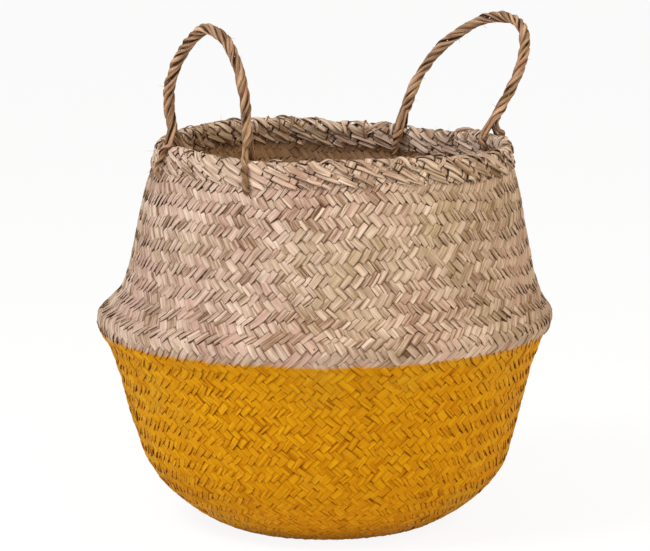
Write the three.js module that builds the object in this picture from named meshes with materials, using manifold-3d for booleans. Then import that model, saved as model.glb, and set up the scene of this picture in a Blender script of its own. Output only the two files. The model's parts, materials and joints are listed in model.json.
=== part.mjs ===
// Seagrass belly basket with two twisted rope handles, in millimetres with +Z up.
// The origin is the middle of the underside. The handles stand at -X, the left, and at +X. The front is -Y.
import * as THREE from "three";
import { mergeVertices } from "three/addons/utils/BufferGeometryUtils.js";
import Module from "manifold-3d";

const wasm = await Module();
wasm.setup();

// Body, outer sizes
const BODY_HEIGHT = 312; // underside to the top of the rim braid
const BASE_RADIUS = 84; // flat mat that stands on the floor
const HEEL_RUN = 3; // how far the wall runs on flat before it turns up
const HIP_RADIUS = 150; // where the turn-up ends and the slanted lower side begins
const HIP_HEIGHT = 61;
const HIP_FLARE = 0.31; // outward lean of the wall at the hip, per millimetre of rise
const HIP_PULL_DOWN = 38; // how far the hip's lean reaches into the turn-up
const HIP_PULL_UP = 55; // and into the lower side
const BELLY_RADIUS = 185; // at the fold, the widest place
const CREASE_HEIGHT = 170; // middle of the fold
const CREASE_FACE = 9; // upright face of the fold
const CREASE_LOWER_PULL = new THREE.Vector2(19, 29); // sweep of the lower side out to the fold
const CREASE_UPPER_PULL = new THREE.Vector2(21.5, 20); // sweep of the upper side in from the fold
const SHOULDER_PULL = new THREE.Vector2(13.7, 68); // sweep of the upper side into the straight neck
const PAINT_HEIGHT = 160; // the paint ends just below the fold
const WALL = 4; // two layers of plaited strip

// Rim braid, which straddles the wall's top edge
const RIM_RADIUS = 139; // axis of the basket to the middle of the rim
const NECK_LEAN = THREE.MathUtils.degToRad(17); // the neck draws in towards the rim
const NECK_LENGTH = 39; // straight part of the wall under the rim
const BRAID = 3; // thickness of the braid on each face of the wall
const BRAID_SKIRT = 14.5; // straight length of the braid down each face
const SEAT_GAP = 0.3; // between pieces that rest on each other

// Rope handles, each of two cords
const CORD_RADIUS = 2.4;
const CORD_SPACING = 0.4; // between the two cords of a rope
const LAY = 46; // length of one turn of the twist
const PARTED_LENGTH = 11; // the cords run side by side for this far above the rim
const TWIST_EASE = 0.07; // share of the twisted length over which the twist sets in
const LEG_RISE = 12; // upright part of each leg, above the rim
const FOOT_SPLAY = 5; // the hole lies this much further out than the foot above it
const FOOT_OVERLAP = THREE.MathUtils.degToRad(14); // how far a foot's cord ends pass the top of the rim
const HOLE_CLEARANCE = 0.5; // round a cord in the wall

// Each handle's own form: span from foot to foot, rise from the hinge to the crown, lean outward in degrees
// and crown how far the top lies from the middle. Each leg splays by an angle in degrees over the length of
// its shoulder, and the eases round the bend at the crown.
const LEFT_HANDLE = { name: "left", side: -1, span: 90, rise: 92.5, lean: 6, crown: -6 };
const LEFT_BEND = {
  front: { splay: 4.5, shoulder: 49, ease: 30.5 },
  back: { splay: 14, shoulder: 47.5, ease: 6 },
};
const RIGHT_HANDLE = { name: "right", side: 1, span: 108, rise: 98.5, lean: 32.5, crown: -13 };
const RIGHT_BEND = {
  front: { splay: 13, shoulder: 47, ease: 40 },
  back: { splay: 12, shoulder: 44, ease: 37 },
};

// Facets
const ROUND_SEGMENTS = 48; // round the basket
const CURVE_STEPS = 6; // along each curve of the wall's outline
const BRAID_STEPS = 8; // over the top of the braid
const HEM_STEPS = 3; // round each lower edge of the braid
const CORD_SIDES = 6;
const STEPS_PER_TURN = 13; // of a twisted cord
const KNUCKLE_SIDES = 8; // of the round end of a cord
const FOOT_STEPS = 26;
const HOLE_SIDES = 12;
const ARC_DIVISIONS = 1200; // for even steps along a twisted cord
const HALVINGS = 40; // of a search for the paint line

// Values that follow from the sizes above
const HANDLES = [
  { ...LEFT_HANDLE, ...LEFT_BEND },
  { ...RIGHT_HANDLE, ...RIGHT_BEND },
];
const RIM_HALF = WALL / 2 + SEAT_GAP + BRAID; // middle of the rim to its face, and the radius of its top
const RIM_MIDDLE = new THREE.Vector2(RIM_RADIUS, BODY_HEIGHT - RIM_HALF);
const RIM_OUT = new THREE.Vector2(Math.cos(NECK_LEAN), Math.sin(NECK_LEAN)); // out of the leaning neck
const RIM_UP = new THREE.Vector2(-Math.sin(NECK_LEAN), Math.cos(NECK_LEAN)); // up along the leaning neck
const FACET_SAG = RIM_RADIUS * (1 - Math.cos(Math.PI / ROUND_SEGMENTS)); // a flat facet's cut into its circle
const CORD_SEAT = CORD_RADIUS + SEAT_GAP + FACET_SAG; // face of the rim to the middle of a cord on it
const CORD_OFFSET = CORD_RADIUS + CORD_SPACING / 2; // middle of a rope to the middle of each cord
const HOLE_DROP = BRAID_SKIRT + BRAID / 2 + CORD_SEAT; // wall's top edge to the holes
const HINGE_HEIGHT = BODY_HEIGHT + CORD_SEAT + CORD_RADIUS + SEAT_GAP + CORD_RADIUS;

const PAINTED = { color: "#d6980a", roughness: 0.55, metalness: 0 };
const NATURAL = { color: "#cdb296", roughness: 0.75, metalness: 0 };
const BRAIDED = { color: "#c2a682", roughness: 0.75, metalness: 0 };
const ROPE = { color: "#b48c64", roughness: 0.8, metalness: 0 };

// Closed solids

function weld(geometry) {
  geometry.deleteAttribute("normal");
  geometry.deleteAttribute("uv");
  return mergeVertices(geometry);
}

function toSolid(geometry) {
  const welded = weld(geometry);
  const vertProperties = new Float32Array(welded.attributes.position.array);
  const triVerts = new Uint32Array(welded.index.array);
  return new wasm.Manifold(new wasm.Mesh({ numProp: 3, vertProperties, triVerts }));
}

function toGeometry(solid) {
  const { vertProperties, triVerts } = solid.getMesh();
  const geometry = new THREE.BufferGeometry();
  geometry.setAttribute("position", new THREE.BufferAttribute(vertProperties, 3));
  geometry.setIndex(new THREE.BufferAttribute(triVerts, 1));
  return geometry;
}

// Turns a closed outline of radius and height round the basket's axis.
function revolve(outline) {
  const geometry = new THREE.LatheGeometry([...outline, outline[0]], ROUND_SEGMENTS);
  geometry.rotateX(Math.PI / 2);
  return weld(geometry);
}

function roundSection(radius, sides) {
  const corners = [];
  for (let i = 0; i < sides; i++) {
    const angle = (2 * Math.PI * i) / sides;
    corners.push(new THREE.Vector2(radius * Math.cos(angle), radius * Math.sin(angle)));
  }
  return new THREE.Shape(corners);
}

function cordAlong(curve, steps) {
  return new THREE.ExtrudeGeometry(roundSection(CORD_RADIUS, CORD_SIDES), { extrudePath: curve, steps });
}

function piece(name, geometry, finish) {
  const mesh = new THREE.Mesh(geometry, new THREE.MeshStandardMaterial(finish));
  mesh.name = name;
  return mesh;
}

// A point on the leaning rim, given across the wall and up along it
function onRim(across, along) {
  return RIM_MIDDLE.clone().addScaledVector(RIM_OUT, across).addScaledVector(RIM_UP, along);
}

// Control points of the wall's outer outline, from the base to the top edge
function outerChain() {
  const hip = new THREE.Vector2(HIP_RADIUS, HIP_HEIGHT);
  const hipLine = new THREE.Vector2(HIP_FLARE, 1);
  const creaseLow = new THREE.Vector2(BELLY_RADIUS, CREASE_HEIGHT - CREASE_FACE / 2);
  const creaseHigh = new THREE.Vector2(BELLY_RADIUS, CREASE_HEIGHT + CREASE_FACE / 2);
  const top = onRim(WALL / 2, 0);
  const neck = onRim(WALL / 2, -NECK_LENGTH);
  return [
    new THREE.Vector2(BASE_RADIUS, 0),
    new THREE.Vector2(BASE_RADIUS + HEEL_RUN, 0),
    hip.clone().addScaledVector(hipLine, -HIP_PULL_DOWN),
    hip,
    hip.clone().addScaledVector(hipLine, HIP_PULL_UP),
    creaseLow.clone().sub(CREASE_LOWER_PULL),
    creaseLow,
    creaseHigh,
    new THREE.Vector2(creaseHigh.x - CREASE_UPPER_PULL.x, creaseHigh.y + CREASE_UPPER_PULL.y),
    new THREE.Vector2(neck.x + SHOULDER_PULL.x, neck.y - SHOULDER_PULL.y),
    neck,
    top,
  ];
}

// The same chain moved towards the inside of the basket, with mitred corners
function insetChain(chain, distance) {
  const inward = (from, to) => {
    const along = to.clone().sub(from).normalize();
    return new THREE.Vector2(-along.y, along.x);
  };
  return chain.map((point, i) => {
    const before = inward(chain[Math.max(i - 1, 0)], chain[Math.max(i, 1)]);
    const after = inward(chain[Math.min(i, chain.length - 2)], chain[Math.min(i + 1, chain.length - 1)]);
    const mitre = before.clone().add(after).normalize();
    return point.clone().addScaledVector(mitre, distance / mitre.dot(before));
  });
}

// The share of a rising curve at which it reaches a height
function shareAtHeight(curve, height) {
  let low = 0;
  let high = 1;
  for (let i = 0; i < HALVINGS; i++) {
    const middle = (low + high) / 2;
    if (curve.getPoint(middle).y < height) {
      low = middle;
    } else {
      high = middle;
    }
  }
  return low;
}

function stretch(curve, from, to, steps) {
  const points = [];
  for (let i = 0; i <= steps; i++) {
    points.push(curve.getPoint(from + ((to - from) * i) / steps));
  }
  return points;
}

// One face of the wall, parted at the paint line
function wallFace(chain) {
  const heel = new THREE.CubicBezierCurve(...chain.slice(0, 4));
  const side = new THREE.CubicBezierCurve(...chain.slice(3, 7));
  const shoulder = new THREE.CubicBezierCurve(...chain.slice(7, 11));
  const paint = shareAtHeight(side, PAINT_HEIGHT);
  const lower = [...stretch(heel, 0, 1, CURVE_STEPS), ...stretch(side, 0, paint, CURVE_STEPS).slice(1)];
  const upper = [...stretch(side, paint, 1, 1), ...stretch(shoulder, 0, 1, CURVE_STEPS + 1), chain[11]];
  return { lower, upper };
}

function makeBase() {
  const radius = BASE_RADIUS - SEAT_GAP;
  const geometry = new THREE.CylinderGeometry(radius, radius, WALL, ROUND_SEGMENTS);
  geometry.rotateX(Math.PI / 2);
  geometry.translate(0, 0, WALL / 2);
  return weld(geometry);
}

function makeRimBraid() {
  const slot = WALL / 2 + SEAT_GAP;
  const hemMiddle = slot + BRAID / 2;
  const outline = [];
  const arc = (across, along, radius, from, to, steps) => {
    for (let i = 0; i <= steps; i++) {
      const angle = from + ((to - from) * i) / steps;
      outline.push(onRim(across + radius * Math.cos(angle), along + radius * Math.sin(angle)));
    }
  };
  outline.push(onRim(slot, SEAT_GAP));
  arc(hemMiddle, -BRAID_SKIRT, BRAID / 2, Math.PI, 2 * Math.PI, HEM_STEPS);
  arc(0, 0, RIM_HALF, 0, Math.PI, BRAID_STEPS);
  arc(-hemMiddle, -BRAID_SKIRT, BRAID / 2, Math.PI, 2 * Math.PI, HEM_STEPS);
  outline.push(onRim(-slot, SEAT_GAP));
  return revolve(outline);
}

// The feet of a handle, as angles round the rim. Splay is the way from the handle's middle to the foot.
function feet(handle) {
  const half = Math.asin(handle.span / 2 / RIM_RADIUS);
  const middle = handle.side > 0 ? 0 : Math.PI;
  return [
    { name: "front", angle: middle - handle.side * half, splay: -handle.side },
    { name: "back", angle: middle + handle.side * half, splay: handle.side },
  ];
}

function makeHole(foot) {
  const radius = CORD_RADIUS + HOLE_CLEARANCE;
  const length = WALL + 2 * RIM_HALF;
  const geometry = new THREE.CylinderGeometry(radius, radius, length, HOLE_SIDES);
  geometry.rotateZ(-Math.PI / 2);
  geometry.rotateY(-NECK_LEAN);
  const middle = onRim(0, -HOLE_DROP);
  geometry.translate(middle.x, 0, middle.y);
  geometry.rotateZ(foot.angle + (foot.splay * FOOT_SPLAY) / RIM_RADIUS);
  return toSolid(geometry);
}

function makeUpperWall(outline) {
  let solid = toSolid(revolve(outline));
  for (const handle of HANDLES) {
    for (const foot of feet(handle)) {
      solid = solid.subtract(makeHole(foot));
    }
  }
  return toGeometry(solid);
}

// One turn of cord round the rim: from the top, down the outside, through the wall and up the inside
class FootCurve extends THREE.Curve {
  constructor(splay) {
    super();
    this.splay = splay;
    const reach = RIM_HALF + CORD_SEAT;
    const bend = CORD_SEAT + BRAID / 2;
    const top = Math.PI / 2;
    const across = reach - bend;
    const outerBend = onRim(across, bend - HOLE_DROP);
    const innerBend = onRim(-across, bend - HOLE_DROP);
    this.path = new THREE.Path();
    this.path.absarc(RIM_MIDDLE.x, RIM_MIDDLE.y, reach, top + FOOT_OVERLAP, NECK_LEAN, true);
    this.path.absarc(outerBend.x, outerBend.y, bend, NECK_LEAN, NECK_LEAN - top, true);
    this.path.absarc(innerBend.x, innerBend.y, bend, NECK_LEAN - top, NECK_LEAN - Math.PI, true);
    this.path.absarc(RIM_MIDDLE.x, RIM_MIDDLE.y, reach, NECK_LEAN + Math.PI, top - FOOT_OVERLAP, true);
  }

  getPoint(share, target = new THREE.Vector3()) {
    const { x: radius, y: height } = this.path.getPointAt(share);
    const sway = FOOT_SPLAY * Math.sin(Math.PI * share) ** 2;
    const turn = (this.splay * (sway + CORD_OFFSET * (2 * share - 1))) / RIM_RADIUS;
    return target.set(radius * Math.cos(turn), radius * Math.sin(turn), height);
  }
}

// Where a leg's shoulder ends, given the leg's foot and the way it splays
function shoulderEnd(foot, bend, way) {
  const splay = THREE.MathUtils.degToRad(bend.splay);
  const reach = new THREE.Vector2(way * Math.sin(splay), Math.cos(splay)).multiplyScalar(bend.shoulder);
  return reach.add(new THREE.Vector2(foot, LEG_RISE));
}

// The middle line of a handle in its own plane, from the front foot to the back foot and up from the hinge
function archPath(handle) {
  const half = handle.span / 2;
  const { crown, rise, front, back } = handle;
  const frontShoulder = shoulderEnd(-half, front, -1);
  const backShoulder = shoulderEnd(half, back, 1);
  const path = new THREE.Path();
  path.moveTo(-half, 0);
  path.lineTo(-half, LEG_RISE);
  path.bezierCurveTo(frontShoulder.x, frontShoulder.y, crown - front.ease, rise, crown, rise);
  path.bezierCurveTo(crown + back.ease, rise, backShoulder.x, backShoulder.y, half, LEG_RISE);
  path.lineTo(half, 0);
  return path;
}

// The share of the whole twist reached at a share of the twisted length, with a soft start and end
function easedTwist(share) {
  const steady = 1 / (1 - TWIST_EASE);
  if (share < TWIST_EASE) {
    return (steady * share ** 2) / (2 * TWIST_EASE);
  }
  if (share > 1 - TWIST_EASE) {
    return 1 - (steady * (1 - share) ** 2) / (2 * TWIST_EASE);
  }
  return steady * (share - TWIST_EASE / 2);
}

// One of the two cords of a handle. Phase 0 and pi start on either side of the foot.
class CordCurve extends THREE.Curve {
  constructor(handle, phase) {
    super();
    this.arcLengthDivisions = ARC_DIVISIONS;
    this.path = archPath(handle);
    this.phase = phase;
    this.length = this.path.getLength();
    this.twisted = this.length - 2 * PARTED_LENGTH;
    this.turns = Math.round((2 * this.twisted) / LAY) / 2;
  }

  getPoint(share, target = new THREE.Vector3()) {
    const middle = this.path.getPointAt(share);
    const along = this.path.getTangentAt(share);
    const past = (share * this.length - PARTED_LENGTH) / this.twisted;
    const angle = this.phase + 2 * Math.PI * this.turns * easedTwist(THREE.MathUtils.clamp(past, 0, 1));
    const across = CORD_OFFSET * Math.cos(angle);
    const forward = CORD_OFFSET * Math.sin(angle);
    return target.set(forward, middle.x - across * along.y, middle.y + across * along.x);
  }
}

function makeHandleCord(handle, phase) {
  const curve = new CordCurve(handle, phase);
  const steps = Math.ceil((curve.length / LAY) * STEPS_PER_TURN);
  let solid = toSolid(cordAlong(curve, steps));
  for (const share of [0, 1]) {
    const knuckle = new THREE.SphereGeometry(CORD_RADIUS, KNUCKLE_SIDES, CORD_SIDES);
    knuckle.translate(...curve.getPoint(share).toArray());
    solid = solid.add(toSolid(knuckle));
  }
  return toGeometry(solid);
}

function makeHandle(handle) {
  const group = new THREE.Group();
  const arch = new THREE.Group();
  arch.position.set(handle.side * Math.sqrt(RIM_RADIUS ** 2 - (handle.span / 2) ** 2), 0, HINGE_HEIGHT);
  arch.rotation.y = handle.side * THREE.MathUtils.degToRad(handle.lean);
  arch.add(piece(`${handle.name}_handle_cord_a`, makeHandleCord(handle, 0), ROPE));
  arch.add(piece(`${handle.name}_handle_cord_b`, makeHandleCord(handle, Math.PI), ROPE));
  group.add(arch);
  for (const foot of feet(handle)) {
    const turnOfCord = cordAlong(new FootCurve(foot.splay), FOOT_STEPS);
    const loop = piece(`${handle.name}_handle_${foot.name}_loop`, turnOfCord, ROPE);
    loop.rotation.z = foot.angle;
    group.add(loop);
  }
  return group;
}

function makeBasket() {
  const chain = outerChain();
  const outside = wallFace(chain);
  const inside = wallFace(insetChain(chain, WALL));
  const basket = new THREE.Group();
  basket.add(piece("base_weave", makeBase(), PAINTED));
  basket.add(piece("lower_wall", revolve([...outside.lower, ...inside.lower.reverse()]), PAINTED));
  basket.add(piece("upper_wall", makeUpperWall([...outside.upper, ...inside.upper.reverse()]), NATURAL));
  basket.add(piece("rim_braid", makeRimBraid(), BRAIDED));
  for (const handle of HANDLES) {
    basket.add(makeHandle(handle));
  }
  return basket;
}

export default makeBasket();
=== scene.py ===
"""A round plaited basket bag with a painted lower half and two rope handles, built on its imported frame."""

import json
import math

import bpy
import numpy as np
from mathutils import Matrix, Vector


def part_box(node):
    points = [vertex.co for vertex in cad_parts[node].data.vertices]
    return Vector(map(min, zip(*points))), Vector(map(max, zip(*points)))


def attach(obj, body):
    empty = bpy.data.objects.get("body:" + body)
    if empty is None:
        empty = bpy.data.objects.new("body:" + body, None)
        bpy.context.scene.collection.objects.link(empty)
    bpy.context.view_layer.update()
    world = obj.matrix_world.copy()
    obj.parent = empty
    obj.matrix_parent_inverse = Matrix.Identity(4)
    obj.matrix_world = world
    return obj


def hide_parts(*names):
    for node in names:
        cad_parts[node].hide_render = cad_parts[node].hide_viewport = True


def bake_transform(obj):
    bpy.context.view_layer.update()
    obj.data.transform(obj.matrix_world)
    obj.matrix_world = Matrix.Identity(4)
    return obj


bl_info = {
    "name": "Plaited Basket Bag",
    "version": (1, 0, 0),
    "blender": (4, 5, 0),
    "location": "3D View > Sidebar > Basket",
    "description": "Plaits the walls, rim and rope handles of a round basket bag on its frame",
    "category": "Object",
}

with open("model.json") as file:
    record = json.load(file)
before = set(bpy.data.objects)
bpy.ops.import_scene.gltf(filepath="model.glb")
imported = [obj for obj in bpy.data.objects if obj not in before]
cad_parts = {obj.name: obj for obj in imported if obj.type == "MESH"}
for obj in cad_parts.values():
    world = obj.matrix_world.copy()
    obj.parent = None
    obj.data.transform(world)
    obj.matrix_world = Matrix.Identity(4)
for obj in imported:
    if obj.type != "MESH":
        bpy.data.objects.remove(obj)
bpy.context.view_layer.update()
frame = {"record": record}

# Sizes that come from the frame
BASE_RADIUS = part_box("base_weave")[1].x
PAINT_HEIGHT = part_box("lower_wall")[1].z
BELLY_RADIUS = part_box("upper_wall")[1].x
BODY_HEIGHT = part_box("rim_braid")[1].z
HINGES = {joint["name"]: joint for joint in frame["record"]["behaviour"]["joints"]}

# Sizes of the wall's outline
HEEL_RUN = 0.003
HIP_RADIUS = 0.150
HIP_HEIGHT = 0.061
HIP_FLARE = 0.31
HIP_PULL_DOWN = 0.038
HIP_PULL_UP = 0.055
CREASE_HEIGHT = 0.170
CREASE_FACE = 0.009
CREASE_LOWER_PULL = (0.019, 0.029)
CREASE_UPPER_PULL = (0.0215, 0.020)
SHOULDER_PULL = (0.0137, 0.068)
WALL = 0.004
PLAIT_INSET = 0.0010  # outer face of the wall to the middle of the plait
TUCK = 0.006  # how far the wall's strips reach in under the edge of the base
TUCK_POINTS = 8
COLLAR_POINTS = 24
BASE_LIFT = 0.0003
FOOT_CLEAR = 0.0006  # keeps the lowest strips off the floor
OUTLINE_STEP = 0.001
FOLD_ROUND = 0.0032
CURVE_POINTS = 160

# How the plait wanders: lobes round the basket, length along the wall, phase and size
WANDER = (
    (2, 0.060, 0.4, 0.0012),
    (5, 0.034, 1.9, 0.0009),
    (11, 0.021, 4.2, 0.0008),
    (23, 0.013, 2.7, 0.0006),
    (41, 0.009, 5.5, 0.0004),
)
STRIP_UNEVEN = 0.16  # spread of the strips' edges, in strip widths
DIVE = 0.15  # share of a crossing in which a strip goes down or up
# Levels of a strip just before it goes down, where 0 is high up and 1 is under; the material paints shadow by
# this level, so these set the painted shadow line at the ends of a float
FLOAT_END = 0.3
LEFT_END = 0.32
RIGHT_END = 0.31
END_UNEVEN = 0.04
ROW_MARKS = 900
ROW_CHANGE = 0.03  # below the fold, where the rows begin to lie closer
SHINGLE_FROM = (0.0, 0.02)  # along the wall, where the lean sets in
SHINGLE = 0.16  # how far a strip leans, so that its lower edge lies over the next strip
# Waves along a strip, as length and size, with lengths in crossings
STRIP_DRIFT = ((1.9, 0.05), (5.3, 0.05))
STRIP_WIDTH = (3.7, 0.05)
STRIP_ROLL = (1 / 0.83, 0.04)
ROLL_UNEVEN = 0.07
LIFT_UNEVEN = 0.2
FLOAT_LIFT = 0.15  # how much higher a strip lies in the middle of a float
STEADY_ENDS = 0.02  # how far from its ends the wall keeps in line
WANDER_FROM = 0.03
WANDER_TURN = 2.1  # sets the wandering of the strips apart from that of the rows
UNEVEN_MOST = 1.8
# Slack strips lie higher and narrow more where they dive: near the top edge, and a little at the fold
SLACK_FROM = (-0.050, -0.020)
SLACK_LIFT = 0.7
SLACK_WAIST = 0.08
FOLD_SLACK = 0.15
FOLD_REACH = 0.010
FOLD_WIDE = 0.012  # how far from the fold the outline is widened again after rounding
# Where the rows of the plait slip by a crossing: lobes round the basket, crossings, phase and size
SLIPS = (
    (1, 9.0, 0.3, 0.30),
    (3, 6.0, 1.7, 0.24),
    (8, 4.2, 4.0, 0.18),
    (15, 3.1, 2.2, 0.13),
)
SLIP_ROWS = (25, 60)  # the rows keep in line below these and slip above them
SLIP_FRONT = (-0.1, 0.7)  # they keep in line at the sides and slip at the front
MISSED = 0.008  # share of crossings that the plaiter got the wrong way round

# Sizes of the base mat
MAT_MARGIN = 0.001
MAT_RINGS = 4  # points along a strip in each crossing
MAT_TWILL = (0.25, 0.5, 0.25)  # smooths the steps of a strip
MAT_UNEVEN = 0.06
MAT_SHADE_RINGS = 8

# Seeds of the random draws
BASE_SEED = 11
WALL_SEED = 20
MISSED_SEED = 9
SPACING_SEEDS = {1: 5, -1: 6}
RIM_SEED = 40
ROPE_SEED = 60

# Sizes of the rim
RIM_RADIUS = 0.139
RIM_HALF = 0.0053
RIM_INSET = 0.0013
RIM_SKIRT = 0.0145
RIM_HEM = 0.0010
RIM_FOOT = 0.0006
NECK_LEAN = math.radians(17)
NECK_LENGTH = 0.039
RIM_WANDER = ((3, 0.010), (7, 0.008), (19, 0.005), (37, 0.004))  # lobes and turns of the uneven border
RIM_ARC_POINTS = (12, 40)  # points of a hem and of the top
RIM_POINTS = 260
RIM_RINGS = 4  # points along a strip in each crossing
RIM_STEP = (0.3, 0.75)  # where a strip goes from under to over, in crossings
RIM_SLANT_UNEVEN = 0.08
RIM_PLACE_UNEVEN = 0.11
RIM_WIDTH_UNEVEN = 0.22
RIM_TILT_UNEVEN = 0.5
RIM_SHADES = 7  # shades along a strip
# Waves along a strip, as length and size
RIM_DRIFT = ((0.006, 0.08), (0.015, 0.16))
RIM_LIFT_WAVE = (0.008, 0.3)
RIM_RISE_WAVE = (0.011, 0.0005)
RIM_ROLL_WAVE = (0.009, 0.08)
RIM_WIDTH_WAVE = (0.010, 0.10)
TOP_REACH = 0.007
HEM_EASE = (0.001, 0.008)
HEM_WIDTH = 0.45  # a strip's width at the hem, as a share
HEM_FLARE = 0.0007  # how far the outer ends stand off, and where
HEM_FLARE_PLACE = 0.004
HEM_FLARE_REACH = 0.003
LOOSE_STRIPS = 60
LOOSE_POINTS = 14
LOOSE_PLACE = (0.40, 0.60)  # share of the way from hem to hem
LOOSE_REACH = (0.004, 0.010)
LOOSE_SLANT = 1.4
LOOSE_RISE = 0.0012
LOOSE_BOW = (0.0002, 0.0022)
LOOSE_WIDTH = (0.0008, 0.0021)
LOOSE_TIP = 0.25
LOOSE_ROLL = 0.5
RIM_HAIRS = 150
RIM_HAIR_PLACES = (0.06, 0.30, 0.45, 0.5, 0.55)
RIM_HAIR_SPREAD = 1.2
RIM_HAIR_REACH = 0.008
RIM_HAIR_TURN = (0.0, 0.02)  # two turns near each other show which way is along the rim
HAIR_POINTS = 7
HAIR_SHORTEST = 0.35  # share of a fibre's reach
HAIR_CURL = 0.45
HAIR_HALF = 0.00016
HAIR_TAPER = 0.8
HAIR_SKEW = (0.31, 0.17, 0.93)  # any way that no fibre follows
RIM_MIDDLE = np.array((RIM_RADIUS, BODY_HEIGHT - RIM_HALF))
RIM_OUT = np.array((math.cos(NECK_LEAN), math.sin(NECK_LEAN)))
RIM_UP = np.array((-math.sin(NECK_LEAN), math.cos(NECK_LEAN)))

# Sizes of the handles
CORD_OFFSET = 0.0024
CORD_SEAT = 0.0032
LEG_RISE = 0.012
HOLE_DROP = 0.0190
FOOT_SPLAY = 0.005
CROTCH_RISE = 0.002
# Stops of a leg from the wall's hole to the rim's shoulder: share of its reach, height and share of its splay
LEG_STOPS = (
    (0.0, -HOLE_DROP, 1.0),
    (0.55, -HOLE_DROP, 1.0),
    (0.93, -HOLE_DROP + 0.0030, 0.95),
    (1.0, -HOLE_DROP + 0.0075, 0.75),
    (1.0, -0.0050, 0.35),
    (0.97, 0.0010, 0.12),
    (0.80, 0.0062, 0.0),
)
ARCH_POINTS = 320
PATH_STEP = 0.0014
PATH_FINE = 24  # points between two stops of a path
BODY_EVERY = 5  # points of the arch that make one stop
CROWN_SWELL = 0.12  # how much wider the cords lie at the crown
CROWN_FROM = 0.3
PARTED_RUN = 0.014  # length in which the strands go over to the legs
ROPE_HAIRS = 12
ROPE_HAIR_ENDS = 12  # points at each end of a cord without fibres
ROPE_HAIR_REACH = 0.005
ROPE_HAIR_SPREAD = 0.9
ROPE_HAIR_LIFT = 0.002
# Arch of each handle: how far its curve is pulled at each foot and beside the crown, and its lean
HANDLES = {
    "left": {
        "span": 0.090,
        "rise": 0.0925,
        "crown": -0.006,
        "front": {"splay": math.radians(4.5), "shoulder": 0.049, "ease": 0.0305},
        "back": {"splay": math.radians(14), "shoulder": 0.0475, "ease": 0.006},
        "lean": math.radians(-6),
        "outward": -1,
    },
    "right": {
        "span": 0.108,
        "rise": 0.0985,
        "crown": -0.013,
        "front": {"splay": math.radians(13), "shoulder": 0.047, "ease": 0.040},
        "back": {"splay": math.radians(12), "shoulder": 0.044, "ease": 0.037},
        "lean": math.radians(32.5),
        "outward": 1,
    },
}
# Strands of each cord: their turn round the rope from the cord's middle, and round the cord in its legs
CORD_STRANDS = {
    "a": ((-72, -120), (0, 0), (72, 120)),
    "b": ((-36, -90), (36, 90)),
}
STRAND_RING = 0.0029
LEG_RING = 0.0012
LEG_LAY = 0.018  # length of one turn of the blades in a leg
LEG_SLIM = 0.06  # how much thinner a leg is than the cord in the arch
# Waves along a strand, as length and size
STRAND_DEPTH = ((0.0037, 0.0004), (0.0101, 0.0004))
STRAND_SIDE = (0.0083, 0.0004)
STRAND_ROLL = (0.010, 0.25)
STRAND_WIDTH = (0.0062, 0.20)
STRAND_THICK = (0.009, 0.10)
MOTTLE_STEP = 0.012
MOTTLE_MARKS = 42
STRAND_SHADE = 0.35  # shade of a strand, with what chance and mottling change
SHADE_UNEVEN = 0.3
MOTTLE_SHARE = 0.5

# The camera's view
VIEW_TURN = math.radians(-42.5)
VIEW_DISTANCE = 2.6206
VIEW_HEIGHT = 0.6297
VIEW_PITCH = 0.162
VIEW_LENS = 180.3
VIEW_SIDE = -0.0036
VIEW_SENSOR = 36
VIEW_END = 40
VIEW_RIGHT = np.array((math.cos(VIEW_TURN), math.sin(VIEW_TURN), 0.0))

# Lamps: turn from the view and rise in degrees, distance, size, share of the main power and colour
LAMPS = {
    "key_lamp": (-48, 48, 2.0, 0.8, 1.0, "#ffffff"),
    "side_lamp": (62, 38, 2.2, 1.2, 0.56, "#ffe4a4"),
    "front_lamp": (8, 14, 2.4, 1.4, 0.32, "#fff6e8"),
}
LAMP_AIM = (0, 0, 0.18)
FLOOR_REACH = 14.0
FLOOR_TOOTH = 0.0025  # width of the paper's grain
FLOOR_BUMP = 0.05
# The paper seen by the eye is mostly lit evenly, so that it shows as white
FLOOR_GLOW = 1.05
FLOOR_GLOW_SHARE = 0.86

# How the hand-made basket strays from a true round: heights with the shift to the side of the view
SWAY = (
    (0.000, -0.0022),
    (0.020, -0.0016),
    (0.046, -0.0019),
    (0.073, -0.0031),
    (0.100, -0.0039),
    (0.146, -0.0043),
    (0.156, -0.0054),
    (0.166, -0.0044),
    (0.180, -0.0023),
    (0.193, 0.0005),
    (0.213, 0.0013),
    (0.252, 0.0015),
    (0.278, 0.0025),
    (0.312, 0.0036),
)
# Bumps of the rim: turn and width in degrees, and height
RIM_BUMPS = (
    (71, 24, 0.0035),
    (97, 18, 0.0022),
    (43, 12, -0.0022),
    (11, 15, -0.0045),
    (-120, 24, 0.0018),
    (-150, 20, -0.0016),
    (-70, 26, -0.0016),
    (170, 22, 0.0016),
)
# Heights between which the bumps set in, and those between which they end
RIM_BUMP_FOOT = (0.222, 0.297)
RIM_BUMP_HEAD = (0.325, 0.369)

# Sections of a strip, a blade and a fibre, as shares of the half width and the depth they are laid with
STRIP_SECTION = np.array(((-1, -0.4), (1, -0.4), (1, 0.2), (0.86, 0.5), (-0.86, 0.5), (-1, 0.2)))
STRIP_OUTSIDE = np.array((0, 0, 1, 1, 1, 1))
BLADE_SIDES = 8
BLADE_TURNS = (np.arange(BLADE_SIDES) + 0.5) * 2 * math.pi / BLADE_SIDES
BLADE_SECTION = np.stack((np.cos(BLADE_TURNS), np.sin(BLADE_TURNS)), axis=1)
BLADE_OUTSIDE = np.ones(BLADE_SIDES)
HAIR_SECTION = np.array(((1, 0), (-0.5, 0.87), (-0.5, -0.87)))
HAIR_OUTSIDE = np.ones(3)
SHARP_ANGLE = math.radians(62)
FLAT_ANGLE = math.radians(24)  # strips pressed flat keep crisp edges


# Colours and nodes


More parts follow.
